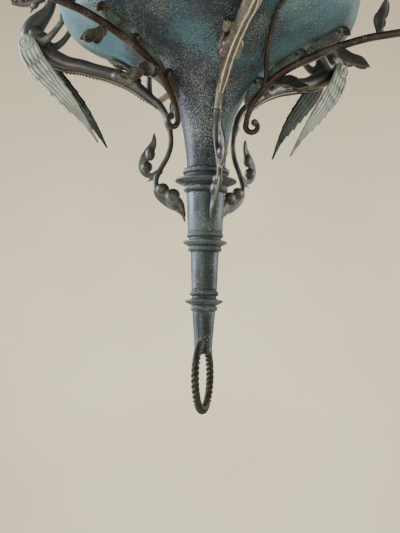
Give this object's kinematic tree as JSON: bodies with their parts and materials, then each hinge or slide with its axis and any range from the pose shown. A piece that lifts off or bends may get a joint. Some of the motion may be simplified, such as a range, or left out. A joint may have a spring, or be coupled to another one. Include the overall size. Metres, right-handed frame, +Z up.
{
  "type": "chandelier",
  "caption": "Hanging bronze light with a ringed stem, a wide flared bowl, winged dragons and leafy candle arms around it, and a roped ring that swings in the stem's foot.",
  "frame": {"origin": "centre of the hanging eye at the top, from which the whole light hangs", "axes": "+Z up along the stem; -Y is the azimuth of the first dragon, and the picture looks from 14 degrees to the -X side of -Y; the first arm stands 60 degrees from -Y towards +X"},
  "size_m": [0.7708, 0.7256, 0.8822],
  "materials": {
    "stem": "dark grey-green patina, satin",
    "bowl": "verdigris over dark bronze, satin",
    "dragon": "dark brown cast bronze, rubbed on the ridges",
    "wing": "pale verdigris in cast feathers",
    "arm": "dark reddish brown bronze, satin",
    "leaf": "warm dark bronze, satin",
    "ring": "nearly black bronze, matt"
  },
  "bodies": {
    "fixture": {"stem_foot": "stem", "lower_collar": "stem", "middle_stem": "stem", "middle_collar": "stem", "upper_stem": "stem", "upper_collar": "stem", "bowl": "bowl", "bowl_cover": "bowl", "column": "stem", "tie_rod": "stem", "lock_nut": "stem", "hanging_eye": "stem", "conduit": "arm", "dragon_1": "dragon", "bracket_1": "leaf", "arm_1": "arm", "candle_pan_1": "arm", "candle_cup_1": "leaf", "leaf_inner_1": "leaf", "leaf_middle_1": "leaf", "leaf_outer_1": "leaf", "dragon_2": "dragon", "bracket_2": "leaf", "arm_2": "arm", "candle_pan_2": "arm", "candle_cup_2": "leaf", "leaf_inner_2": "leaf", "leaf_middle_2": "leaf", "leaf_outer_2": "leaf", "wing_2_left": "wing", "wing_2_right": "wing", "dragon_3": "dragon", "bracket_3": "leaf", "arm_3": "arm", "candle_pan_3": "arm", "candle_cup_3": "leaf", "leaf_inner_3": "leaf", "leaf_middle_3": "leaf", "leaf_outer_3": "leaf", "wing_3_left": "wing", "wing_3_right": "wing"},
    "ring": {"pull_ring": "ring"}
  },
  "joints": [
    {"name": "ring_swing", "type": "hinge", "parent": "fixture", "child": "ring", "pos_m": [0, 0, -0.7725], "axis": [-0.454, -0.891, 0], "range_deg": [-162, 162]}
  ]
}
